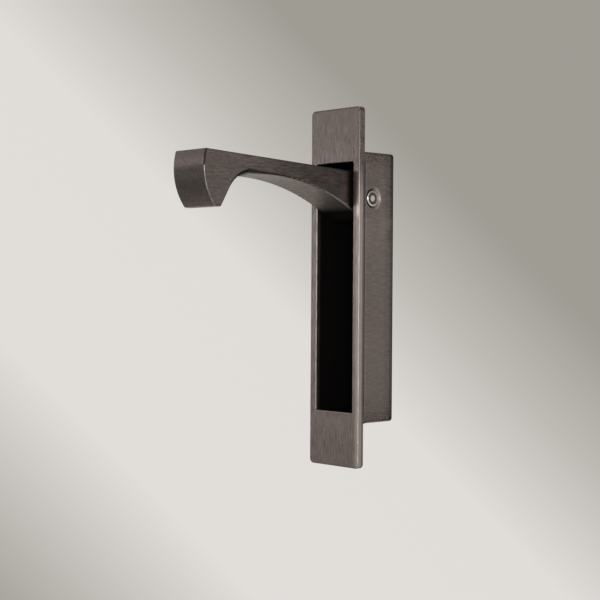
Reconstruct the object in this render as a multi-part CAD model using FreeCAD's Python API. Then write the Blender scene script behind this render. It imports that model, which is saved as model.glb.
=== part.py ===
import FreeCAD, Part
import math
import os

os.makedirs("parts", exist_ok=True)

# A flip-out edge pull for a sliding door, drawn with its lever swung open
# X runs across the pull, Y runs into the door and Z runs up
# The origin is the centre of the housing's back face, halfway between the two screw holes

# Face plate, in millimetres
plate_height = 98.4
plate_width = 19.05
plate_thickness = 2.0
plate_corner_radius = 1.3
plate_rim_radius = 0.45

# Slot in the plate, which the pocket behind it carries on
slot_height = 68.4
slot_width = 14.2
slot_corner_radius = 0.4
slot_rim_chamfer = 0.2

# Pocket walls
pocket_depth = 14.35
side_wall = 1.0
end_wall = 3.0
back_wall = 1.0
housing_edge_radius = 0.9
lower_flare_radius = 3.6
lower_flare_turn = 72.0

# Screw holes in the back wall
screw_hole_radius = 1.8
screw_hole_spacing = 24.0

# Pivot
pivot_depth = 6.9
pivot_height = 24.5
pin_radius = 2.0
pin_clearance = 0.03
countersink_depth = 0.62
countersink_radius = 2.9
open_angle = 93.0

# Staked ends of the pin
rim_radius = 2.17
rim_crown_radius = 2.02
groove_outer_radius = 1.84
groove_inner_radius = 0.92
groove_depth = 0.34
nub_sink = 0.14
rim_sink = 0.06

# Lever
lever_side_gap = 0.85
root_side_gap = 1.35
root_length = 4.4
arm_thickness = 4.15
underside_run = 34.85
knuckle_gap = 1.25
stop_gap = 0.12
tail_corner_radius = 1.2
lever_edge_radius = 0.4
root_edge_chamfer = 0.3

# Hook at the lever's tip
tip_gap = 0.25
tip_crown_depth = 2.6
tip_face_radius = 15.2
hook_gap = 0.25
foot_flat = 1.75
foot_corner_radius = 0.6
hook_root_radius = 9.0
hook_face_angle = 63.0

# Washers between the lever's root and the pocket's sides
friction_washer_thickness = 0.5
friction_washer_radius = 4.0
spring_washer_thickness = 0.3
spring_washer_radius = 3.8
washer_play = 0.04
washer_bore_clearance = 0.06

# How close two edges or points lie when they count as one
tolerance = 0.001
point_tolerance = 0.000001

# Sizes that follow from the ones above
housing_depth = pocket_depth + back_wall
housing_width = slot_width + 2 * side_wall
housing_height = slot_height + 2 * end_wall
front_y = -housing_depth
plate_back_y = front_y + plate_thickness
pocket_floor_y = front_y + pocket_depth
pivot_y = front_y + pivot_depth
lever_width = slot_width - 2 * lever_side_gap
root_width = slot_width - 2 * root_side_gap
lever_reach = pivot_height + slot_height / 2 - tip_gap
hook_depth = pocket_depth - hook_gap
knuckle_radius = pocket_depth - pivot_depth - knuckle_gap
stop_distance = pocket_depth - pivot_depth - stop_gap
pin_hole_radius = pin_radius + pin_clearance


def polar(radius, degrees):
    """A flat point at this radius and at this angle from the first axis."""
    turn = math.radians(degrees)
    return (radius * math.cos(turn), radius * math.sin(turn))


def moved(point, step):
    """A flat point moved by a flat step."""
    return (point[0] + step[0], point[1] + step[1])


def rounded_corner(before, corner, after, radius):
    """Start, middle and end of the arc that rounds a corner between two straight lines."""
    towards = []
    for end in (before, after):
        run = math.hypot(end[0] - corner[0], end[1] - corner[1])
        towards.append(((end[0] - corner[0]) / run, (end[1] - corner[1]) / run))
    half = math.acos(towards[0][0] * towards[1][0] + towards[0][1] * towards[1][1]) / 2
    cut = radius / math.tan(half)
    start = moved(corner, (towards[0][0] * cut, towards[0][1] * cut))
    end = moved(corner, (towards[1][0] * cut, towards[1][1] * cut))
    middle_way = (towards[0][0] + towards[1][0], towards[0][1] + towards[1][1])
    size = math.hypot(middle_way[0], middle_way[1])
    sink = radius / math.sin(half) - radius
    middle = moved(corner, (middle_way[0] / size * sink, middle_way[1] / size * sink))
    return [start, middle, end]


def flat_face(steps, to_space):
    """A face whose outline is a ring of steps, each a line or, with three points, an arc."""
    edges = []
    for number, step in enumerate(steps):
        if len(step) == 3:
            start, middle, end = [to_space(point) for point in step]
            edges.append(Part.Arc(start, middle, end).toShape())
        next_start = to_space(steps[(number + 1) % len(steps)][0])
        here = to_space(step[-1])
        if here.distanceToPoint(next_start) > point_tolerance:
            edges.append(Part.LineSegment(here, next_start).toShape())
    return Part.Face(Part.Wire(edges))


def rounded_prism(width, height, radius, start_y, depth):
    """An upright block centred on X and Z, with rounded corners, that runs into the door."""
    right = width / 2
    top = height / 2
    corners = [(right, top), (-right, top), (-right, -top), (right, -top)]
    steps = []
    for number, corner in enumerate(corners):
        before = corners[number - 1]
        after = corners[(number + 1) % 4]
        steps.append(rounded_corner(before, corner, after, radius))
    face = flat_face(steps, lambda point: FreeCAD.Vector(point[0], start_y, point[1]))
    return face.extrude(FreeCAD.Vector(0, depth, 0))


def cross_cylinder(radius, length, y, z):
    """A cylinder across the pull, centred on X."""
    start = FreeCAD.Vector(-length / 2, y, z)
    return Part.makeCylinder(radius, length, start, FreeCAD.Vector(1, 0, 0))


def edges_where(shape, test):
    """The edges of a shape whose boxes pass a test."""
    return [edge for edge in shape.Edges if test(edge.BoundBox)]


def face_plate():
    """The plate with its rounded front rim."""
    plate = rounded_prism(plate_width, plate_height, plate_corner_radius, front_y, plate_thickness)
    front_rim = edges_where(plate, lambda box: box.YMax < front_y + tolerance)
    return plate.makeFillet(plate_rim_radius, front_rim)


def housing_block():
    """The box behind the plate, with rounded back edges and a cast flare under its lower end."""
    top = housing_height / 2
    flare = [polar(lower_flare_radius, share * lower_flare_turn) for share in (0, 0.5, 1)]
    reach = flare[2][1]
    drop = lower_flare_radius - flare[2][0]
    back_top = rounded_corner((plate_back_y, top), (0, top), (0, -top), housing_edge_radius)
    back_bottom = rounded_corner((0, top), (0, -top), (plate_back_y, -top), housing_edge_radius)
    under = [(plate_back_y + reach - y, -top - lower_flare_radius + rise) for rise, y in flare]
    sunk_y = plate_back_y - plate_thickness / 2
    steps = [
        [(sunk_y, top)],
        back_top,
        back_bottom,
        under,
        [(sunk_y, -top - drop)],
    ]
    half = housing_width / 2
    face = flat_face(steps, lambda point: FreeCAD.Vector(-half, point[0], point[1]))
    block = face.extrude(FreeCAD.Vector(housing_width, 0, 0))
    outer_edges = edges_where(
        block,
        lambda box: box.XLength < tolerance and box.YMax > plate_back_y + reach + tolerance,
    )
    return block.makeFillet(housing_edge_radius, outer_edges)


def countersinks():
    """Two cones that open the pin's holes at the housing's sides."""
    cones = []
    for side in (-1, 1):
        inner = housing_width / 2 - countersink_depth
        start = FreeCAD.Vector(side * inner, pivot_y, pivot_height)
        way = FreeCAD.Vector(side, 0, 0)
        cones.append(Part.makeCone(pin_hole_radius, countersink_radius, countersink_depth, start, way))
    return cones


def housing():
    """The casting: plate, pocket, pin holes and screw holes."""
    body = face_plate().fuse(housing_block()).removeSplitter()
    pocket = rounded_prism(slot_width, slot_height, slot_corner_radius, front_y, pocket_depth)
    body = body.cut(pocket)
    slot_rim = edges_where(
        body,
        lambda box: box.YMax < front_y + tolerance
        and max(abs(box.XMin), abs(box.XMax)) < slot_width / 2 + tolerance
        and max(abs(box.ZMin), abs(box.ZMax)) < slot_height / 2 + tolerance,
    )
    body = body.makeChamfer(slot_rim_chamfer, slot_rim)
    tools = [cross_cylinder(pin_hole_radius, housing_width, pivot_y, pivot_height)]
    tools += countersinks()
    for side in (-1, 1):
        start = FreeCAD.Vector(0, pocket_floor_y, side * screw_hole_spacing / 2)
        tools.append(Part.makeCylinder(screw_hole_radius, back_wall, start, FreeCAD.Vector(0, 1, 0)))
    return body.cut(tools)


def knuckle_steps():
    """The tail's stop face and the round knuckle, about the pivot, up to the arm's underside."""
    tilt = open_angle - 90
    foot_angle = 180 + tilt
    foot = polar(stop_distance, foot_angle)
    front = -pivot_depth
    corner_u = -(stop_distance + front * math.sin(math.radians(tilt))) / math.cos(math.radians(tilt))
    corner = (corner_u, front)
    tail_corner = rounded_corner((0, front), corner, foot, tail_corner_radius)
    leave_angle = foot_angle - math.degrees(math.acos(knuckle_radius / stop_distance))
    rise = arm_thickness - pivot_depth
    spread = underside_run ** 2 + rise ** 2 - knuckle_radius ** 2
    sweep_radius = spread / (2 * (knuckle_radius - rise))
    sweep_centre = (underside_run, rise + sweep_radius)
    meet_angle = math.degrees(math.atan2(sweep_centre[1], sweep_centre[0]))
    knuckle = [
        polar(knuckle_radius, leave_angle),
        polar(knuckle_radius, (leave_angle + meet_angle) / 2),
        polar(knuckle_radius, meet_angle),
    ]
    sweep_turn = (meet_angle + 180 + 270) / 2
    underside = [
        knuckle[-1],
        moved(sweep_centre, polar(sweep_radius, sweep_turn)),
        (underside_run, rise),
    ]
    return [tail_corner, [foot], knuckle, underside]


def hook_steps():
    """The hook: its inner curve, its foot and its outer face, about the pivot."""
    front = -pivot_depth
    rise = arm_thickness - pivot_depth
    foot_level = hook_depth - pivot_depth
    crown_angle = math.degrees(math.asin((tip_crown_depth - pivot_depth) / lever_reach))
    centre = polar(lever_reach - tip_face_radius, crown_angle)
    heel_drop = foot_level - foot_corner_radius - centre[1]
    heel_angle = math.degrees(math.asin(heel_drop / (tip_face_radius - foot_corner_radius)))
    heel_centre = moved(centre, polar(tip_face_radius - foot_corner_radius, heel_angle))
    heel_corner = [moved(heel_centre, polar(foot_corner_radius, angle))
                   for angle in (90, (90 + heel_angle) / 2, heel_angle)]
    brow_angle = math.degrees(math.asin((front - centre[1]) / tip_face_radius))
    toe = (heel_centre[0] - foot_flat, foot_level)
    hook_rise = foot_level - rise
    crook = (toe[0] - hook_rise / math.tan(math.radians(hook_face_angle)), rise)
    inner_curve = rounded_corner((underside_run, rise), crook, toe, hook_root_radius)
    toe_corner = rounded_corner(crook, toe, heel_corner[0], foot_corner_radius)
    end_face = [moved(centre, polar(tip_face_radius, angle))
                for angle in (heel_angle, (heel_angle + brow_angle) / 2, brow_angle)]
    return [inner_curve, toe_corner, heel_corner, end_face]


def lever_slab(width, from_u, to_u):
    """A stretch of the closed lever, cut square, and the edges all round it."""
    steps = knuckle_steps() + hook_steps()

    def to_space(point):
        return FreeCAD.Vector(-width / 2, pivot_y + point[1], pivot_height - point[0])

    slab = flat_face(steps, to_space).extrude(FreeCAD.Vector(width, 0, 0))
    keep = Part.makeBox(width, 2 * housing_depth, to_u - from_u,
                        FreeCAD.Vector(-width / 2, pivot_y - housing_depth, pivot_height - to_u))
    slab = slab.common(keep)
    cut_levels = (pivot_height - from_u, pivot_height - to_u)

    def outer(box):
        on_side = box.XLength < tolerance
        on_tip_face = box.YMax < front_y + tolerance and box.ZLength < tolerance
        on_cut = any(abs(box.ZMin - level) < tolerance and box.ZLength < tolerance for level in cut_levels)
        return (on_side or on_tip_face) and not on_cut

    return slab, edges_where(slab, outer)


def pull_lever():
    """The lever with its rounded hook and narrower root, bored for the pin and swung open."""
    beyond = 2 * lever_reach
    root, root_edges = lever_slab(root_width, -beyond, root_length)
    blade, blade_edges = lever_slab(lever_width, root_length, beyond)
    root = root.makeChamfer(root_edge_chamfer, root_edges)
    blade = blade.makeFillet(lever_edge_radius, blade_edges)
    lever = root.fuse(blade).removeSplitter()
    lever = lever.cut(cross_cylinder(pin_hole_radius, slot_width, pivot_y, pivot_height))
    lever.rotate(FreeCAD.Vector(0, pivot_y, pivot_height), FreeCAD.Vector(1, 0, 0), -open_angle)
    return lever


def turned(steps):
    """A ring or shaft turned about the pivot's axis from its half section."""
    def to_space(point):
        return FreeCAD.Vector(point[0], pivot_y + point[1], pivot_height)

    centre = FreeCAD.Vector(0, pivot_y, pivot_height)
    return flat_face(steps, to_space).revolve(centre, FreeCAD.Vector(1, 0, 0), 360)


def pivot_pin():
    """The pin with both ends staked: a flared rim, a ring groove and a small round nub."""
    end = housing_width / 2
    groove_floor = end - rim_sink - groove_depth
    groove_middle = (groove_inner_radius + groove_outer_radius) / 2
    right = [
        [(end - countersink_depth, pin_radius)],
        [(end - 3 * rim_sink, rim_radius)],
        [(end - rim_sink, rim_crown_radius)],
        [(end - 2 * rim_sink, groove_outer_radius)],
        [(groove_floor, groove_middle)],
        [(end - nub_sink - groove_depth / 2, groove_inner_radius)],
    ]
    nub_top = end - nub_sink
    profile = [[(-x, r) for x, r in reversed(step)] for step in reversed(right)] + right
    profile = [[(-nub_top, 0)]] + profile + [[(nub_top, 0)]]
    return turned(profile)


def friction_washer(side):
    """A flat washer beside the lever's root."""
    near = root_width / 2 + washer_play
    far = near + friction_washer_thickness
    bore = pin_radius + washer_bore_clearance
    ring = [[(near, bore)], [(near, friction_washer_radius)], [(far, friction_washer_radius)], [(far, bore)]]
    return turned([[(side * x, r) for x, r in step] for step in ring])


def spring_washer(side):
    """A dished washer that presses the flat one against the lever."""
    near = root_width / 2 + 2 * washer_play + friction_washer_thickness
    far = slot_width / 2 - washer_play
    bore = pin_radius + washer_bore_clearance
    outer = spring_washer_radius
    ring = [
        [(near, bore)],
        [(far - spring_washer_thickness, outer)],
        [(far, outer)],
        [(near + spring_washer_thickness, bore)],
    ]
    return turned([[(side * x, r) for x, r in step] for step in ring])


pieces = {
    "housing": housing(),
    "pull_lever": pull_lever(),
    "pivot_pin": pivot_pin(),
    "friction_washer_left": friction_washer(-1),
    "friction_washer_right": friction_washer(1),
    "spring_washer_left": spring_washer(-1),
    "spring_washer_right": spring_washer(1),
}

for name, shape in pieces.items():
    solid = shape.Solids[0] if len(shape.Solids) == 1 else shape
    solid.exportStep("parts/" + name + ".step")
    print(name, len(shape.Solids), round(shape.Volume, 2), shape.isValid())
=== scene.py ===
import math

import bpy
from mathutils import Matrix, Vector


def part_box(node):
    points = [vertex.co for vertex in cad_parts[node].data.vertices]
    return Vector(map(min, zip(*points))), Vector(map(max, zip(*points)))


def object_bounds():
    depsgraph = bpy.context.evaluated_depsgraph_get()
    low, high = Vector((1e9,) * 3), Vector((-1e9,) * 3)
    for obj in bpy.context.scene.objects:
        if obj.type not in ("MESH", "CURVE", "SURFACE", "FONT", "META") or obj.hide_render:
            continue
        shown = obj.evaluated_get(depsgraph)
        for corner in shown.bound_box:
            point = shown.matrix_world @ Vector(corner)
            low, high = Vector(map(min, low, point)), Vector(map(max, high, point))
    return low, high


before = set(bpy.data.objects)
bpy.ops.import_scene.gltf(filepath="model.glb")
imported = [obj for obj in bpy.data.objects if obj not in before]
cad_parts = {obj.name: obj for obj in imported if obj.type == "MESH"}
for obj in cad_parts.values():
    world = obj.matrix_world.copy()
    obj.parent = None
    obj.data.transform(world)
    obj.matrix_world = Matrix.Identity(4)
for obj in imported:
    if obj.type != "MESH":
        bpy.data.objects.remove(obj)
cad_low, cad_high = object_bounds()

# Sizes are in metres, angles in degrees and the lens in millimetres. Heights are from the plate's
# middle and depths from its front. A pair of places, facings or levels says where a mask is 0 and
# where it is 1. A pair of tints, wears, roughnesses or speckles says what they are at 0 and at 1.

# Camera, at the photograph's place and angle
camera_azimuth = 47.124
camera_elevation = 0.291
camera_roll = 0.369
camera_distance = 0.38631
camera_aim = Vector((-0.01385, -0.01535, -0.0012))
camera_lens = 81.9
camera_shift_up = -0.0144
camera_clip_start = 0.01

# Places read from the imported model
plate_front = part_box("housing")[0].y
pin_low, pin_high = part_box("pivot_pin")
pin_y = (pin_low.y + pin_high.y) / 2
pin_z = (pin_low.z + pin_high.z) / 2
lever_low, lever_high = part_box("pull_lever")

# Slot and pocket
slot_half_width = 0.0071
slot_half_height = 0.0342
slot_mouth_depth = 0.0003
slot_fade = 0.0003
slot_left_half = (0.0, -0.001)
pocket_back = (-0.0004, -0.0008)
# Depths to which the painted light by the pocket's mouth reaches, and from which its floor and right
# wall are less black
mouth_glow_depth = 0.004
floor_and_right_depths = (0.001, 0.003)
slot_edge_above = 0.0004
slot_edge_below = 0.0001
slot_edge_depths = (0.0008, 0.0003)
chamfer_depths = (0.0006, 0.0003)

# Plate's front and its right strip, beside the slot
front_light_heights = (0.042, 0.030)
calm_stroke_heights = (0.044, 0.030)
lever_side_heights = (0.0183, 0.0205)
# Heights where the painted highlights beside the lever and along the plate's right edge fade
strip_highlight_heights = (0.036, 0.030)
highlight_heights = (0.036, 0.020)
strip_beyond_slot = 0.0007
strip_full_beyond_slot = 0.002
rim_full_beyond_slot = 0.001
rim_chip_heights = (-0.026, -0.036)
spark_heights = (-0.028, -0.035)
low_side_heights = (-0.034, -0.038)

# Plate's sides, whose painted highlight, painted shade and chips lie at these shares of its thickness
plate_thickness = 0.002
plate_back_fade = 0.0002
stroke_turn_fade = 0.0004
side_highlight_shares = (0.85, 0.5)
plate_side_shares = (0.4, 0.8)
back_line_shares = (0.88, 0.95)
low_side_shares = (1.0, 0.0)
chipped_side_shares = (1.0, 0.8)

# Box behind the plate
box_end_heights = (0.0375, 0.032)
box_middle_heights = (0.018, 0.004)
chipped_heights = (0.030, 0.036)
grit_heights = (0.0325, 0.0355)
corner_shade_end = 0.0038
corner_shade_fade = 0.0001
corner_light_end = 0.0047
back_edge_depths = (0.006, 0.008)
last_third_depths = (0.0105, 0.0125)
cast_mark_depths = (0.0112, 0.0130)
cast_mark_sides = (-0.001, 0.001)
back_band_depths = (0.0133, 0.0138)

# Lever's hook, tip and root. Runs are along Y, which is the open lever's length.
lever_tilt = 3.0
hook_face_end = -0.052
tip_fade = 0.002
hook_speckle_fade = 0.006
tip_light_from = 0.0318
tip_dark_heights = (0.0323, 0.0288)
tip_edge_heights = (0.0298, 0.0306)
arm_shade_run = (-0.060, -0.026)
# Painted black shade on the lever's root, from before the plate's front to behind it
root_shade_before_plate = 0.002
root_shade_behind_plate = 0.0015

# Lever's crook: its line of painted black shade, the painted dark corner under it, and its bend round a
# centre
crook_low = 0.0255
crook_line_heights = (crook_low, crook_low + 0.0012)
crook_line_run = (-0.052, -0.048)
arm_line_run = (-0.020, -0.045)
hollow_low_heights = (crook_low, crook_low + 0.001)
hollow_high_heights = (0.0312, 0.0304)
hollow_front_run = (-0.0615, -0.0595)
hollow_back_run = (-0.034, -0.050)
under_shift_run = (-0.0425, -0.0485)
under_shift = 0.0022
under_line_start = 0.0022
under_line_full = 0.0008
dark_corner_slant = 0.46
dark_corner_run = (-0.0469, -0.0483)
dark_corner_heights = (crook_low, crook_low + 0.002)
crook_width = 0.0014
bend_y = -0.05034
bend_z = 0.02042
bend_line_radii = (0.0098, 0.0095)
bend_front_run = (-0.0575, -0.055)
bend_back_run = (-0.0490, -0.0525)

# Pin and the painted highlight round it, from the axis outwards
pin_nub_radius = 0.00082
pin_groove_radius = 0.00168
pin_line_fade = 0.0001
pin_light_run = (-0.002, 0.0025)
highlight_start_radii = (0.0020, 0.0023)
highlight_end_radii = (0.0035, 0.0026)
highlight_run = (-0.0002, 0.0014)
highlight_start_inside_pin = 0.001
highlight_full_inside_pin = 0.0006

# How far a face has to turn towards a direction
side_facing = (0.6, 0.9)
front_facing = (-0.7, -0.95)
front_light_facing = (-0.5, -0.9)
right_wall_facing = (-0.5, -0.9)
left_wall_facing = (0.1, 0.3)
slot_edge_facing = (0.2, 0.5)
rim_facing = (0.9, 1.3)
rim_middle_facing = 0.7
rim_middle_reach = (0.05, 0.25)
rim_line_facing = (1.1, 1.35)
back_edge_facing = (0.0, 0.35)
back_face_facing = (0.99, 0.93)
lever_face_facing = (0.5, 0.8)
under_facing = (-0.5, -0.8)
upward_facing = (0.3, 0.6)
tip_facing = (-0.5, -0.7)
tip_edge_right_facing = (0.12, 0.3)
tip_edge_front_facing = (-0.12, -0.3)
crook_right_facing = (0.06, 0.2)
flat_side_facing = (0.99, 0.93)
crook_inward_facing = (0.1, 0.35)
crook_under_facing = (-0.1, -0.4)

# Shares by which the bronze is darkened or lightened: by cast marks and grit, and elsewhere by
# painted shade and painted light
plate_side_dark = 0.25
back_line_dark = 0.85
corner_dark = 0.97
corner_lighter = 0.3
cast_marks_dark = 0.62
cast_marks_left = 0.4
last_third_dark = 0.2
back_band_dark = 0.48
front_lighter = 0.15
box_middle_dark = 0.12
back_edge_dark = 0.78
left_chamfer_dark = 0.8
grit_dark = 0.5
arm_dark = 0.58
tip_dark_share = 0.74
under_lighter = 0.6

# Shares of brighter metal: worn edges and chips, and painted highlights along the plate's right
# edge, round the pin, on the slot's lower edge and on the hook's tip
edge_wear = 0.35
rim_middle_highlight = 0.4
rim_less_by_lever = 0.55
rim_less_by_chips = 0.7
rim_highlight_all_over = 0.2
strip_highlight_by_lever = 0.7
spark_wear = 0.95
side_highlight_range = (0.6, 1.1)
low_side_wear = (0.3, 0.7)
countersink_highlight_share = 0.95
slot_edge_highlight_share = 0.8
lever_edge_wear = 0.3
tip_edge_highlight = (0.2, 0.45)
tip_top_highlight = 0.07

# Shares of black that stands for painted shade, and of the painted light at the pocket's mouth
# and the less black floor and right wall that thin it
mouth_glow = 0.4
floor_and_right_less_black = 0.2
crevice_black = 0.85
crook_black = 0.85
dark_corner_black = 0.9
bend_black = 0.95
tip_edge_black = 0.85

# Grain: how many grains a metre holds along each axis
patina_grain = (420, 420, 260)
mottle_grain = (1500, 1500, 1100)
rim_chip_grain = (2600, 2600, 700)
side_chip_grain = (1500, 2600, 1500)
grit_grain = (1700, 1700, 1700)
tick_grain = (500, 220, 2900)
patch_grain = (90, 90, 130)
speckle_grain = (1900, 1900, 1900)
tip_chip_grain = (900, 900, 900)
pin_scratch_grain = (4000, 4000, 4000)
washer_ring_grain = (9000, 1, 1)
washer_stain_grain = (600, 600, 600)

# Levels between which a grain turns into patina, chips or marks, and a crevice or the crook's edge into
# painted shade
patina_levels = (0.35, 0.65)
rim_chip_levels = (0.56, 0.46)
spark_levels = (0.48, 0.56)
low_side_levels = (0.42, 0.55)
side_chip_levels = (0.48, 0.6)
grit_levels = (0.42, 0.62)
tick_levels = (0.53, 0.61)
patch_levels = (0.38, 0.56)
tip_chip_levels = (0.35, 0.55)
crevice_levels = (0.3, 0.8)
crook_edge_levels = (0.05, 0.3)

# Brushing: how far apart its strokes lie, how long they run and how much they stand out.
# Coarse strokes are this many times as wide and as long as fine ones.
stroke_spacing = 0.0003
stroke_length = 0.003
coarse_times_wider = 3
coarse_times_longer = 2
coarse_stroke_share = 0.2
plate_stroke_contrast = 2.5
calm_stroke_share = 0.5
box_stroke_contrast = 2.2
arm_stroke_contrast = 3.0
arm_stroke_sway = 0.4
under_stroke_contrast = 2.8
speckle_range = (-1.0, 2.0)
tip_speckle = 0.6
hook_side_speckle = 0.35

# Bronze: how its strokes and patina change its colour, roughness and height
stroke_tint = (0.66, 1.34)
mottle_tint = (0.8, 1.2)
stroke_roughness = (0.46, 0.34)
patina_roughness = (-0.03, 0.03)
worn_roughness = 0.1
stroke_height_share = 0.7
bronze_bump_height = 0.00003
bronze_bump_strength = 0.3

# Edges and crevices, as the shader finds them
wear_width = 0.00035
edge_turn = 0.12
edge_samples = 6
crevice_reach = 0.0016
crevice_samples = 8

# Pin's and washers' metal
pin_tint = (0.8, 1.35)
pin_roughness = (0.3, 0.42)
pin_groove_roughness = 0.1
pin_bump_height = 0.00003
pin_bump_strength = 0.5
brass_roughness = 0.28
spring_roughness = 0.3
washer_roughness_spread = 0.15
washer_bump_height = 0.00002
washer_bump_strength = 0.4

# Floor and lamps
floor_drop = 0.075
floor_radius = 0.2
floor_sides = 96
floor_solid_share = 0.3
floor_clear_share = 0.95
lamp_distance = 0.9

# Backdrop: greys of 255 at their places along its slant, of which a ramp covers a length of 1.
# It turns plain where the view turns off the photograph's.
backdrop_start = -0.5
backdrop_shades = [(-0.128, 156), (-0.056, 187), (0.022, 221), (0.18, 222), (0.30, 167)]
backdrop_more_red = 3
backdrop_blue_gain = 1.06
backdrop_less_blue = 17
off_photo_turn = (0.92, 0.8)

# Axes, by number
x_axis = 0
y_axis = 1
z_axis = 2


def grey(level):
    """The linear value of a grey that shows as this level of 255."""
    share = level / 255
    if share <= 0.04045:
        return share / 12.92
    return ((share + 0.055) / 1.055) ** 2.4


def colour(red, green, blue):
    """A colour whose parts are levels of 255, as a shader takes it."""
    return (grey(red), grey(green), grey(blue), 1.0)


# Bronze: its patina, the bright tone of worn metal and painted highlights, the paler painted
# highlight beside the lever, and the black that stands for painted shade
dark_patina = colour(109, 101, 99)
light_patina = colour(114, 103, 100)
worn_and_lit_bronze = colour(184, 174, 169)
strip_highlight_bronze = colour(240, 230, 224)
painted_shade_black = colour(17, 15, 14)

# Other metals
dull_steel = colour(196, 192, 186)
bright_steel = colour(226, 222, 216)
# The pin's groove, dark as painted shade
groove_shade_steel = colour(98, 95, 90)
dark_brass = colour(150, 122, 72)
light_brass = colour(196, 168, 108)
dark_spring_steel = colour(96, 98, 104)
light_spring_steel = colour(140, 142, 148)

# Studio
floor_paper = colour(226, 225, 221)
soft_light = colour(190, 190, 190)
plain_backdrop = colour(203, 200, 195)


class Field:
    """A number that varies over a surface. Arithmetic on it adds Math nodes."""

    def __init__(self, shader, socket):
        self.shader = shader
        self.socket = socket

    def math(self, operation, *values):
        inputs = dict(enumerate(values))
        return self.shader.node("ShaderNodeMath", {"operation": operation}, inputs)

    def __add__(self, other):
        return self.math("ADD", self, other)

    def __radd__(self, other):
        return self.math("ADD", other, self)

    def __sub__(self, other):
        return self.math("SUBTRACT", self, other)

    def __rsub__(self, other):
        return self.math("SUBTRACT", other, self)

    def __mul__(self, other):
        return self.math("MULTIPLY", self, other)

    def __rmul__(self, other):
        return self.math("MULTIPLY", other, self)

    def __abs__(self):
        return self.math("ABSOLUTE", self)

    def root(self):
        return self.math("SQRT", self)

    def larger(self, other):
        return self.math("MAXIMUM", self, other)

    def rise(self, start, end):
        """0 at start and 1 at end, with a soft step between them."""
        return self.shader.node(
            "ShaderNodeMapRange",
            {"interpolation_type": "SMOOTHSTEP"},
            {"Value": self, "From Min": start, "From Max": end, "To Min": 0.0, "To Max": 1.0},
        )

    def between(self, low, high):
        """Runs from low to high as the field runs from 0 to 1."""
        return self * (high - low) + low


class Shader:
    """Adds nodes to one node tree and gives back their outputs as fields."""

    def __init__(self, tree):
        self.tree = tree
        tree.nodes.clear()

    def node(self, kind, settings=None, inputs=None, output=0):
        """One node with its settings, and the values or links of its sockets."""
        made = self.tree.nodes.new(kind)
        for name, value in (settings or {}).items():
            if name == "stops":
                self.set_stops(made.color_ramp, value)
            else:
                setattr(made, name, value)
        for name, value in (inputs or {}).items():
            if isinstance(value, Field):
                self.tree.links.new(value.socket, made.inputs[name])
            else:
                made.inputs[name].default_value = value
        return Field(self, made.outputs[output]) if made.outputs else made

    def set_stops(self, ramp, stops):
        """Gives a colour ramp these stops alone."""
        while len(ramp.elements) > 1:
            ramp.elements.remove(ramp.elements[-1])
        ramp.elements[0].position, ramp.elements[0].color = stops[0]
        for position, stop_colour in stops[1:]:
            ramp.elements.new(position).color = stop_colour

    def place(self):
        """Object coordinates, in metres."""
        return self.node("ShaderNodeTexCoord", output="Object")

    def parts(self, vector):
        """The three numbers of a vector."""
        split = self.tree.nodes.new("ShaderNodeSeparateXYZ")
        self.tree.links.new(vector.socket, split.inputs[0])
        return [Field(self, socket) for socket in split.outputs]

    def facing(self):
        """The three numbers of the surface's normal, which turn with the piece."""
        return self.parts(self.node("ShaderNodeTexCoord", output="Normal"))

    def vector_math(self, operation, first, second, output=0):
        inputs = {0: first, 1: second}
        return self.node("ShaderNodeVectorMath", {"operation": operation}, inputs, output)

    def noise(self, place, scale, detail=2.0, roughness=0.5, turn=(0, 0, 0), offset=(0, 0, 0), sway=0.0):
        """Noise whose grain has its own size along each axis. An offset moves the grain's pattern."""
        mapped = self.node(
            "ShaderNodeMapping",
            {"vector_type": "POINT"},
            {"Vector": place, "Location": offset, "Rotation": turn, "Scale": scale},
        )
        inputs = {
            "Vector": mapped,
            "Scale": 1.0,
            "Detail": detail,
            "Roughness": roughness,
            "Distortion": sway,
        }
        return self.node("ShaderNodeTexNoise", {}, inputs, output="Fac")

    def mix(self, share, first, second):
        """A colour that runs from the first to the second as the share runs from 0 to 1."""
        inputs = {0: share, 6: first, 7: second}
        return self.node("ShaderNodeMix", {"data_type": "RGBA"}, inputs, output=2)

    def blend(self, share, first, second):
        """A number that runs from the first to the second as the share runs from 0 to 1."""
        inputs = {0: share, 2: first, 3: second}
        return self.node("ShaderNodeMix", {"data_type": "FLOAT"}, inputs, output=0)

    def tinted(self, base, amount):
        """A colour made lighter or darker by a field around 1."""
        grown = self.node("ShaderNodeCombineXYZ", {}, {0: amount, 1: amount, 2: amount})
        return self.vector_math("MULTIPLY", base, grown)

    def crevices(self, reach):
        """1 deep in a corner or gap and 0 in the open."""
        settings = {"samples": crevice_samples}
        inputs = {"Color": (1, 1, 1, 1), "Distance": reach}
        open_share = self.node("ShaderNodeAmbientOcclusion", settings, inputs, output="AO")
        return 1 - open_share

    def edges(self, width):
        """1 on an edge and 0 a little way from it."""
        rounded = self.node("ShaderNodeBevel", {"samples": edge_samples}, {"Radius": width})
        plain = self.node("ShaderNodeNewGeometry", output="Normal")
        same = self.vector_math("DOT_PRODUCT", rounded, plain, output="Value")
        return (1 - same).rise(0.0, edge_turn)

    def bump(self, height, distance, strength):
        """A normal tilted by a height that is given in shares of a distance."""
        inputs = {"Strength": strength, "Distance": distance, "Height": height}
        return self.node("ShaderNodeBump", {}, inputs)

    def metal(self, tone, roughness, normal):
        """A metal surface."""
        inputs = {"Base Color": tone, "Metallic": 1.0, "Roughness": roughness, "Normal": normal}
        return self.node("ShaderNodeBsdfPrincipled", {}, inputs)

    def finish(self, surface):
        """Ends the tree in this surface."""
        self.node("ShaderNodeOutputMaterial", {}, {"Surface": surface})


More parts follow.
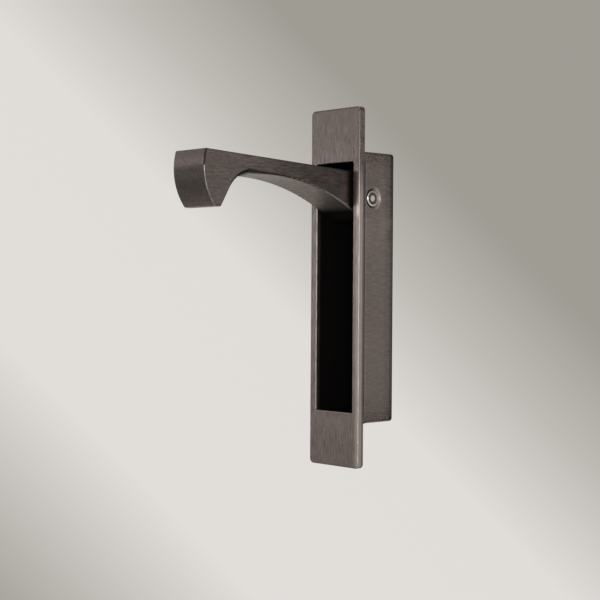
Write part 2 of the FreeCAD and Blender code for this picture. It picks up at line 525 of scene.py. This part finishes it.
def new_material(name):
    """A named material and the shader that fills it."""
    material = bpy.data.materials.new(name)
    material.use_nodes = True
    return material, Shader(material.node_tree)


def give(node_name, material):
    """Puts a material into all the slots of a CAD node."""
    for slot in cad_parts[node_name].material_slots:
        slot.material = material


def radius_at(y, z, centre_y, centre_z):
    """How far a place lies from an axis that runs across the pull."""
    return ((y - centre_y) * (y - centre_y) + (z - centre_z) * (z - centre_z)).root()


def strokes(shader, place, along, contrast, turn=(0, 0, 0), sway=0.0):
    """Brush strokes that run along one axis: coarse and fine ones together, 0.5 on average."""
    across = 1 / stroke_spacing
    coarse_scale = [across / coarse_times_wider] * 3
    fine_scale = [across] * 3
    coarse_scale[along] = 1 / (coarse_times_longer * stroke_length)
    fine_scale[along] = 1 / stroke_length
    coarse = shader.noise(place, coarse_scale, detail=1.0, turn=turn, sway=sway)
    fine = shader.noise(place, fine_scale, roughness=0.65, turn=turn, sway=sway)
    both = coarse * coarse_stroke_share + fine * (1 - coarse_stroke_share)
    return (both - 0.5) * contrast + 0.5


def bronze(shader, place, stroke, wear_and_highlight, black_shade, shade, worn_and_lit=worn_and_lit_bronze):
    """The dark brushed finish: patina, worn edges, painted highlights and painted black shade in
    hollows.
    """
    # Ambient occlusion turns corners and gaps into painted black shade
    crevice = shader.crevices(crevice_reach)
    black_shade = black_shade.larger(crevice.rise(*crevice_levels) * crevice_black)
    patina = shader.noise(place, patina_grain, detail=3.0, roughness=0.55)
    mottle = shader.noise(place, mottle_grain, roughness=0.6, offset=(3, 1, 2))
    tint = stroke.between(*stroke_tint) * mottle.between(*mottle_tint) * shade
    tone = shader.mix(patina.rise(*patina_levels), dark_patina, light_patina)
    # Worn metal and painted highlights both take the bright tone
    tone = shader.mix(wear_and_highlight * (1 - crevice), shader.tinted(tone, tint), worn_and_lit)
    rough = stroke.between(*stroke_roughness) + patina.between(*patina_roughness)
    rough = rough + wear_and_highlight * worn_roughness
    height = stroke * stroke_height_share + mottle * (1 - stroke_height_share)
    normal = shader.bump(height, bronze_bump_height, bronze_bump_strength)
    metal = shader.metal(tone, rough, normal)
    # The black stands for painted shade
    black = shader.node("ShaderNodeBsdfDiffuse", {}, {"Color": painted_shade_black})
    shader.finish(shader.node("ShaderNodeMixShader", {}, {0: black_shade, 1: metal, 2: black}))


def lever_side(z):
    """1 at the heights where the open lever stands beside the plate's right strip."""
    return z.rise(*lever_side_heights)


def left_wall(x, facing):
    """1 on the slot's left wall and chamfer, which look to the right."""
    return x.rise(*slot_left_half) * facing[0].rise(*left_wall_facing)


def in_slot(distance, half_size):
    """1 between the slot's sides or ends, at a distance from its middle."""
    return abs(distance).rise(half_size + slot_fade, half_size + slot_fade / 3)


def in_plate(depth, shares):
    """A mask over the plate's depth, whose pair is in shares of its thickness."""
    return depth.rise(plate_thickness * shares[0], plate_thickness * shares[1])


def behind_plate(depth):
    """1 on the box, behind the plate."""
    return depth.rise(plate_thickness, plate_thickness + plate_back_fade)


def rim_highlight(x, z, facing, chips):
    """Painted highlight on the plate's rounded right rim: brightest along its borders, broken by chips
    low down.
    """
    middle = abs(facing[0] - rim_middle_facing).rise(*rim_middle_reach)
    rim = (facing[0] - facing[1]).rise(*rim_facing) * middle.between(rim_middle_highlight, 1.0)
    rim = rim * x.rise(slot_half_width, slot_half_width + rim_full_beyond_slot)
    rim = rim * (1 - lever_side(z) * rim_less_by_lever)
    return rim * (1 - z.rise(*rim_chip_heights) * chips.rise(*rim_chip_levels) * rim_less_by_chips)


def edge_highlight_and_chips(shader, place, x, z, facing, depth):
    """Painted highlight along the plate's right edge and strip, with bright chips at its lower end."""
    chips = shader.noise(place, rim_chip_grain, roughness=0.6, offset=(5, 2, 1))
    strip = x.rise(slot_half_width + strip_beyond_slot, slot_half_width + strip_full_beyond_slot)
    strip = strip * facing[1].rise(*front_facing) * lever_side(z).between(strip_highlight_by_lever, 1.0)
    rim = rim_highlight(x, z, facing, chips)
    side = facing[0].rise(*side_facing)
    side_start = side * in_plate(depth, side_highlight_shares) * chips.between(*side_highlight_range)
    highlight = strip.larger(rim).larger(side_start) * z.rise(*highlight_heights)
    rim_line = (facing[0] - facing[1]).rise(*rim_line_facing) * x.rise(0.0, slot_half_width)
    sparks = rim_line * z.rise(*spark_heights) * chips.rise(*spark_levels) * spark_wear
    low_side = side * z.rise(*low_side_heights) * in_plate(depth, low_side_shares)
    low_side = low_side * chips.rise(*low_side_levels).between(*low_side_wear)
    return highlight.larger(rim * rim_highlight_all_over).larger(sparks).larger(low_side)


def countersink_highlight(x, y, z):
    """Painted highlight in a ring on the housing's side round the pin, towards the back."""
    radius = radius_at(y, z, pin_y, pin_z)
    ring = radius.rise(*highlight_start_radii) * radius.rise(*highlight_end_radii)
    outer = x.rise(pin_high.x - highlight_start_inside_pin, pin_high.x - highlight_full_inside_pin)
    return ring * outer * (y - pin_y).rise(*highlight_run) * countersink_highlight_share


def slot_edge(z, facing, depth):
    """A thin painted highlight on the slot's lower edge."""
    low = z.rise(slot_edge_above - slot_half_height, -slot_edge_below - slot_half_height)
    return low * facing[2].rise(*slot_edge_facing) * depth.rise(*slot_edge_depths) * slot_edge_highlight_share


def plate_side_shade(box_side, depth):
    """Painted shade at the back of the plate's side, nearly black in the corner behind it, then painted
    light.
    """
    plate_side = box_side * in_plate(depth, plate_side_shares)
    plate_side = plate_side * depth.rise(plate_thickness + plate_back_fade, plate_thickness)
    back_line = plate_side * in_plate(depth, back_line_shares)
    behind = box_side * behind_plate(depth)
    corner = behind * depth.rise(corner_shade_end, corner_shade_end - corner_shade_fade)
    corner_light = behind * depth.rise(corner_light_end, corner_shade_end)
    shade = (1 - plate_side * plate_side_dark) * (1 - back_line * back_line_dark)
    return shade * (1 + corner_light * corner_lighter) * (1 - corner * corner_dark)


def cast_marks(shader, place, x, side, depth):
    """Cast tick marks, in patches towards the box's back and fainter on its left side."""
    ticks = shader.noise(place, tick_grain, detail=1.0, offset=(1, 4, 2))
    patches = shader.noise(place, patch_grain, detail=1.0, offset=(6, 3, 8))
    marks = ticks.rise(*tick_levels) * patches.rise(*patch_levels)
    marks = marks * side * depth.rise(*cast_mark_depths)
    return marks * x.rise(*cast_mark_sides).between(cast_marks_left, 1.0)


def cast_grit(shader, place, z, side, depth):
    """Chips on the plate's side at its upper end, and grit on the box's sides near its ends."""
    chips = shader.noise(place, side_chip_grain, roughness=0.6, offset=(4, 4, 9))
    chipped = chips.rise(*side_chip_levels) * side * z.rise(*chipped_heights)
    grit = shader.noise(place, grit_grain, roughness=0.6, offset=(8, 1, 6))
    gritty = grit.rise(*grit_levels) * side * abs(z).rise(*grit_heights)
    return (chipped * in_plate(depth, chipped_side_shares)).larger(gritty * behind_plate(depth))


def housing_shade(shader, place, x, z, facing, depth):
    """How much darker or lighter parts of the housing are: cast marks, grit, painted shade and light."""
    side = abs(facing[0]).rise(*side_facing)
    box_side = side * abs(z).rise(*box_end_heights)
    middle = box_side * abs(z).rise(*box_middle_heights)
    # Painted shade towards the back of the box's sides and on the back edge's rounding
    last_third = depth.rise(*last_third_depths) * last_third_dark
    last_third = side * (last_third + depth.rise(*back_band_depths) * back_band_dark)
    back_edge = facing[1].rise(*back_edge_facing) * facing[1].rise(*back_face_facing)
    back_edge = back_edge * depth.rise(*back_edge_depths)
    # Painted shade on the slot's left chamfer, and painted light on the front below its top
    left_chamfer = left_wall(x, facing) * depth.rise(*chamfer_depths)
    front = facing[1].rise(*front_light_facing) * z.rise(*front_light_heights)
    marks = cast_marks(shader, place, x, side, depth)
    shade = plate_side_shade(box_side, depth) * (1 - marks * cast_marks_dark) * (1 - last_third)
    shade = shade * (1 + front * front_lighter) * (1 - middle * box_middle_dark)
    shade = shade * (1 - back_edge * back_edge_dark) * (1 - left_chamfer * left_chamfer_dark)
    return shade * (1 - cast_grit(shader, place, z, side, depth) * grit_dark)


def housing_strokes(shader, place, z, facing, depth):
    """Strokes that run up the plate, calmer at its top, and inwards on the box's sides."""
    calm = z.rise(*calm_stroke_heights).between(calm_stroke_share, 1.0)
    upright = (strokes(shader, place, z_axis, plate_stroke_contrast) - 0.5) * calm + 0.5
    inward = strokes(shader, place, y_axis, box_stroke_contrast)
    on_box = depth.rise(plate_thickness, plate_thickness + stroke_turn_fade)
    return shader.blend(abs(facing[0]).rise(*side_facing) * on_box, upright, inward)


def pocket_black_shade(x, y, z, facing, depth):
    """Painted black shade in the pocket, thinner by its mouth on the left and on its floor and right."""
    in_depth = depth.rise(slot_mouth_depth / 3, slot_mouth_depth) * y.rise(*pocket_back)
    inside = in_slot(x, slot_half_width) * in_slot(z, slot_half_height) * in_depth
    # Painted light by the pocket's mouth, on its left wall
    glow = left_wall(x, facing) * depth.rise(mouth_glow_depth, slot_mouth_depth) * mouth_glow
    floor_and_right = abs(facing[1]).larger(facing[0].rise(*right_wall_facing))
    floor_and_right = floor_and_right * depth.rise(*floor_and_right_depths) * floor_and_right_less_black
    return inside * (1 - glow) * (1 - floor_and_right)


def housing_material():
    """Brushed upwards on the plate and inwards on the sides, with painted black shade inside the pocket.
    """
    material, shader = new_material("dark_bronze_housing")
    place = shader.place()
    x, y, z = shader.parts(place)
    facing = shader.facing()
    depth = y - plate_front
    stroke = housing_strokes(shader, place, z, facing, depth)
    # Painted black shade inside the pocket
    black_shade = pocket_black_shade(x, y, z, facing, depth)
    wear_and_highlight = shader.edges(wear_width) * edge_wear * (1 - black_shade) * (1 - left_wall(x, facing))
    # Painted highlight along the plate's right edge, with bright chips at its lower end
    wear_and_highlight = wear_and_highlight.larger(edge_highlight_and_chips(shader, place, x, z, facing, depth))
    # Painted highlights round the pin and on the slot's lower edge
    wear_and_highlight = wear_and_highlight.larger(countersink_highlight(x, y, z)).larger(slot_edge(z, facing, depth))
    # Painted highlight in a paler tone on the strip beside the lever
    strip_highlight = lever_side(z) * z.rise(*strip_highlight_heights)
    strip_highlight = strip_highlight * facing[1].rise(*front_facing) * x.rise(0.0, slot_half_width)
    worn_and_lit = shader.mix(strip_highlight, worn_and_lit_bronze, strip_highlight_bronze)
    shade = housing_shade(shader, place, x, z, facing, depth)
    bronze(shader, place, stroke, wear_and_highlight, black_shade, shade, worn_and_lit)
    return material


def lever_strokes(shader, place, y, facing, on_side, on_tip):
    """Strokes along the sides and outer face and across the underside, with specks on the hook."""
    tilt = (math.radians(lever_tilt), 0, 0)
    along = strokes(shader, place, y_axis, arm_stroke_contrast, tilt, arm_stroke_sway)
    across = strokes(shader, place, x_axis, under_stroke_contrast, tilt)
    outer = facing[2].rise(*lever_face_facing)
    stroke = shader.blend(on_side.larger(outer), across, along)
    specks = shader.noise(place, speckle_grain, detail=3.0, roughness=0.7, offset=(2, 5, 1))
    hook_side = on_side * y.rise(hook_face_end, hook_face_end - hook_speckle_fade)
    speckled = (on_tip * tip_speckle).larger(hook_side * hook_side_speckle)
    return shader.blend(speckled, stroke, specks.between(*speckle_range))


def crook_line(shader, x, y, z, facing):
    """Painted shade round the crook: on its rounded edge, and a little onto the side and underside."""
    right = facing[0].rise(*crook_right_facing)
    line = right * facing[0].rise(*flat_side_facing)
    line = line * (facing[1] - facing[2]).rise(*crook_inward_facing)
    line = line * z.rise(*crook_line_heights).larger(y.rise(*crook_line_run)) * y.rise(*arm_line_run)
    hollow = z.rise(*hollow_low_heights) * z.rise(*hollow_high_heights)
    hollow = hollow * y.rise(*hollow_front_run) * y.rise(*hollow_back_run)
    under = x + y.rise(*under_shift_run) * under_shift
    under = under.rise(lever_high.x - under_line_start, lever_high.x - under_line_full)
    corner = (y + x * dark_corner_slant).rise(*dark_corner_run) * z.rise(*dark_corner_heights)
    under = under.larger(corner * dark_corner_black) * facing[2].rise(*crook_under_facing)
    on_side = shader.edges(crook_width).rise(*crook_edge_levels) * right
    return line.larger(hollow * on_side).larger(hollow * under)


def bend_line(y, z, facing):
    """The blackest painted shade of that line, on the hook's side of the bend."""
    line = radius_at(y, z, bend_y, bend_z).rise(*bend_line_radii)
    line = line * facing[0].rise(*crook_right_facing)
    return line * y.rise(*bend_front_run) * y.rise(*bend_back_run)


def lever_material():
    """Brushed along the arm's sides and outer face, across its underside, with painted shade on the
    hook's face.
    """
    material, shader = new_material("dark_bronze_lever")
    place = shader.place()
    x, y, z = shader.parts(place)
    facing = shader.facing()
    on_side = abs(facing[0]).rise(*lever_face_facing)
    on_tip = facing[1].rise(*tip_facing) * y.rise(hook_face_end, hook_face_end - tip_fade)
    stroke = lever_strokes(shader, place, y, facing, on_side, on_tip)
    # Painted shade along the arm's sides towards the root, and on the hook's face below its top band
    tip_dark = on_tip * z.rise(*tip_dark_heights) * z.rise(lever_low.z, tip_light_from)
    shade = (1 - on_side * y.rise(*arm_shade_run) * arm_dark) * (1 - tip_dark * tip_dark_share)
    # Painted light on the underside
    shade = shade * (1 + facing[2].rise(*under_facing) * under_lighter)
    tip_edge = facing[0].rise(*tip_edge_right_facing) * facing[1].rise(*tip_edge_front_facing)
    above = z.rise(*tip_edge_heights)
    crook = crook_line(shader, x, y, z, facing)
    # Painted black shade on the lever's root, where it goes into the slot
    black_shade = y.rise(plate_front - root_shade_before_plate, plate_front + root_shade_behind_plate)
    black_shade = black_shade * (1 - facing[2].rise(*upward_facing))
    # Painted black shade round the crook and on its bend
    black_shade = black_shade.larger(crook * crook_black).larger(bend_line(y, z, facing) * bend_black)
    # Painted black shade on the upper part of the tip's edge
    black_shade = black_shade.larger(tip_edge * above * tip_edge_black)
    chips = shader.noise(place, tip_chip_grain, detail=1.0, offset=(7, 2, 4)).rise(*tip_chip_levels)
    # Painted highlight on the lower part of the tip's edge, broken by chips
    lit_tip_edge = tip_edge * (1 - above) * chips.between(*tip_edge_highlight)
    wear_and_highlight = (shader.edges(wear_width) * lever_edge_wear).larger(lit_tip_edge) * (1 - crook)
    # Painted highlight on the top band of the hook's face
    wear_and_highlight = wear_and_highlight.larger(on_tip * (1 - tip_dark) * above * tip_top_highlight)
    bronze(shader, place, stroke, wear_and_highlight, black_shade, shade)
    return material


def pin_material():
    """Steel: bright on the staked rim and the nub, with painted shade in the groove between them."""
    material, shader = new_material("staked_pin_steel")
    place = shader.place()
    y, z = shader.parts(place)[1:]
    radius = radius_at(y, z, pin_y, pin_z)
    # Painted shade in the groove between the nub and the rim
    groove = radius.rise(pin_nub_radius - pin_line_fade, pin_nub_radius + pin_line_fade)
    groove = groove * radius.rise(pin_groove_radius + pin_line_fade, pin_groove_radius - pin_line_fade)
    scratch = shader.noise(place, pin_scratch_grain, detail=3.0, roughness=0.6)
    # Painted highlight towards the pin's lower left, and painted shade towards its upper right
    lit_low_left = ((pin_y - y) + (pin_z - z)).rise(*pin_light_run)
    tone = shader.mix(scratch, dull_steel, bright_steel)
    tone = shader.mix(groove, shader.tinted(tone, lit_low_left.between(*pin_tint)), groove_shade_steel)
    rough = scratch.between(*pin_roughness) + groove * pin_groove_roughness
    normal = shader.bump(scratch, pin_bump_height, pin_bump_strength)
    shader.finish(shader.metal(tone, rough, normal))
    return material


def washer_material(name, dark, light, roughness):
    """A turned or pressed washer, with fine rings round the pin's axis."""
    material, shader = new_material(name)
    place = shader.place()
    y, z = shader.parts(place)[1:]
    radius = radius_at(y, z, pin_y, pin_z)
    rings = shader.node("ShaderNodeCombineXYZ", {}, {0: radius, 1: 0.0, 2: 0.0})
    turned = shader.noise(rings, washer_ring_grain, roughness=0.6)
    stain = shader.noise(place, washer_stain_grain, detail=3.0, roughness=0.6)
    tone = shader.mix(turned * 0.5 + stain * 0.5, dark, light)
    rough = turned.between(roughness, roughness + washer_roughness_spread)
    normal = shader.bump(turned, washer_bump_height, washer_bump_strength)
    shader.finish(shader.metal(tone, rough, normal))
    return material


def dress_nodes():
    """Gives every CAD node its finish."""
    give("housing", housing_material())
    give("pull_lever", lever_material())
    give("pivot_pin", pin_material())
    brass = washer_material("washer_brass", dark_brass, light_brass, brass_roughness)
    spring = washer_material(
        "washer_spring_steel", dark_spring_steel, light_spring_steel, spring_roughness)
    for side in ("left", "right"):
        give("friction_washer_" + side, brass)
        give("spring_washer_" + side, spring)


def direction(azimuth, elevation):
    """A unit vector away from the object. Azimuth 0 is in front and 90 on the right."""
    turn = math.radians(azimuth)
    rise = math.radians(elevation)
    return Vector((math.sin(turn) * math.cos(rise), -math.cos(turn) * math.cos(rise), math.sin(rise)))


def looking_back(away):
    """The turn of a camera or lamp that stands in this direction and looks at the object."""
    return (-away).to_track_quat("-Z", "Y").to_matrix().to_4x4()


def add_to_scene(name, data):
    """A new object with this data, in the scene."""
    added = bpy.data.objects.new(name, data)
    bpy.context.scene.collection.objects.link(added)
    return added


def add_camera():
    """The camera, at the photograph's place and angle."""
    data = bpy.data.cameras.new("photo_camera")
    data.lens = camera_lens
    data.shift_y = camera_shift_up
    data.clip_start = camera_clip_start
    camera = add_to_scene("photo_camera", data)
    away = direction(camera_azimuth, camera_elevation)
    roll = Matrix.Rotation(math.radians(camera_roll), 4, "Z")
    place = Matrix.Translation(camera_aim + away * camera_distance)
    camera.matrix_world = place @ looking_back(away) @ roll
    bpy.context.scene.camera = camera


def add_lamp(name, azimuth, elevation, width, height, power):
    """A soft rectangular lamp that looks at the object."""
    data = bpy.data.lights.new(name, "AREA")
    data.shape = "RECTANGLE"
    data.size = width
    data.size_y = height
    data.energy = power
    lamp = add_to_scene(name, data)
    away = direction(azimuth, elevation)
    centre = (cad_low + cad_high) / 2
    lamp.matrix_world = Matrix.Translation(centre + away * lamp_distance) @ looking_back(away)


def add_lamps():
    """Soft lamps: one by the camera, one from the left, one from behind on the right and one above."""
    add_lamp("front_lamp", azimuth=47, elevation=2, width=0.22, height=0.22, power=3.0)
    add_lamp("left_lamp", azimuth=-47, elevation=4, width=0.35, height=0.3, power=0.56)
    add_lamp("right_lamp", azimuth=142, elevation=8, width=0.7, height=0.5, power=0.55)
    add_lamp("top_lamp", azimuth=47, elevation=84, width=0.15, height=0.15, power=2.5)


def backdrop_colour(level):
    """A warm grey, whose blue falls off faster than its level."""
    return colour(level + backdrop_more_red, level, level * backdrop_blue_gain - backdrop_less_blue)


def backdrop_stops():
    """The backdrop's greys from its dark upper corner, over its bright band, to its lower corner."""
    return [(place - backdrop_start, backdrop_colour(level)) for place, level in backdrop_shades]


def light_world():
    """An even soft light, behind which the eye and metal see a slanting band of pale grey."""
    world = bpy.data.worlds.new("studio")
    bpy.context.scene.world = world
    world.use_nodes = True
    shader = Shader(world.node_tree)
    way = shader.node("ShaderNodeTexCoord", output="Generated")
    turn = math.radians(camera_azimuth)
    slant = Vector((-math.cos(turn), -math.sin(turn), -1)).normalized()
    along = shader.vector_math("DOT_PRODUCT", way, slant, output="Value") - backdrop_start
    band = shader.node("ShaderNodeValToRGB", {"stops": backdrop_stops()}, {"Fac": along})
    rays = shader.tree.nodes.new("ShaderNodeLightPath")
    looked_at = Field(shader, rays.outputs["Is Camera Ray"])
    photo_way = -direction(camera_azimuth, camera_elevation)
    towards_photo = shader.vector_math("DOT_PRODUCT", way, photo_way, output="Value")
    off_photo = looked_at * towards_photo.rise(*off_photo_turn)
    band = shader.mix(off_photo, band, plain_backdrop)
    seen = looked_at.larger(Field(shader, rays.outputs["Is Glossy Ray"]))
    seen = seen.larger(Field(shader, rays.outputs["Is Transmission Ray"]))
    tone = shader.mix(seen, soft_light, band)
    background = shader.node("ShaderNodeBackground", {}, {"Color": tone, "Strength": 1.0})
    shader.node("ShaderNodeOutputWorld", {}, {"Surface": background})


def floor_mesh():
    """A flat round face."""
    ring = []
    for step in range(floor_sides):
        turn = 2 * math.pi * step / floor_sides
        ring.append((math.cos(turn) * floor_radius, math.sin(turn) * floor_radius, 0))
    mesh = bpy.data.meshes.new("floor")
    mesh.from_pydata(ring, [], [list(range(floor_sides))])
    return mesh


def floor_material():
    """Pale paper that fades out towards the floor's rim."""
    material, shader = new_material("pale_floor")
    x, y = shader.parts(shader.place())[:2]
    reach = (x * x + y * y).root()
    fade = reach.rise(floor_radius * floor_solid_share, floor_radius * floor_clear_share)
    paper = shader.node("ShaderNodeBsdfDiffuse", {}, {"Color": floor_paper})
    clear = shader.node("ShaderNodeBsdfTransparent", {}, {})
    shader.finish(shader.node("ShaderNodeMixShader", {}, {0: fade, 1: paper, 2: clear}))
    return material


def add_floor():
    """A pale floor that takes the object's shadow."""
    centre = (cad_low + cad_high) / 2
    floor = add_to_scene("floor", floor_mesh())
    floor.location = (centre.x, centre.y, cad_low.z - floor_drop)
    floor.data.materials.append(floor_material())


bpy.context.scene.view_settings.view_transform = "Standard"
dress_nodes()
add_camera()
add_lamps()
light_world()
add_floor()
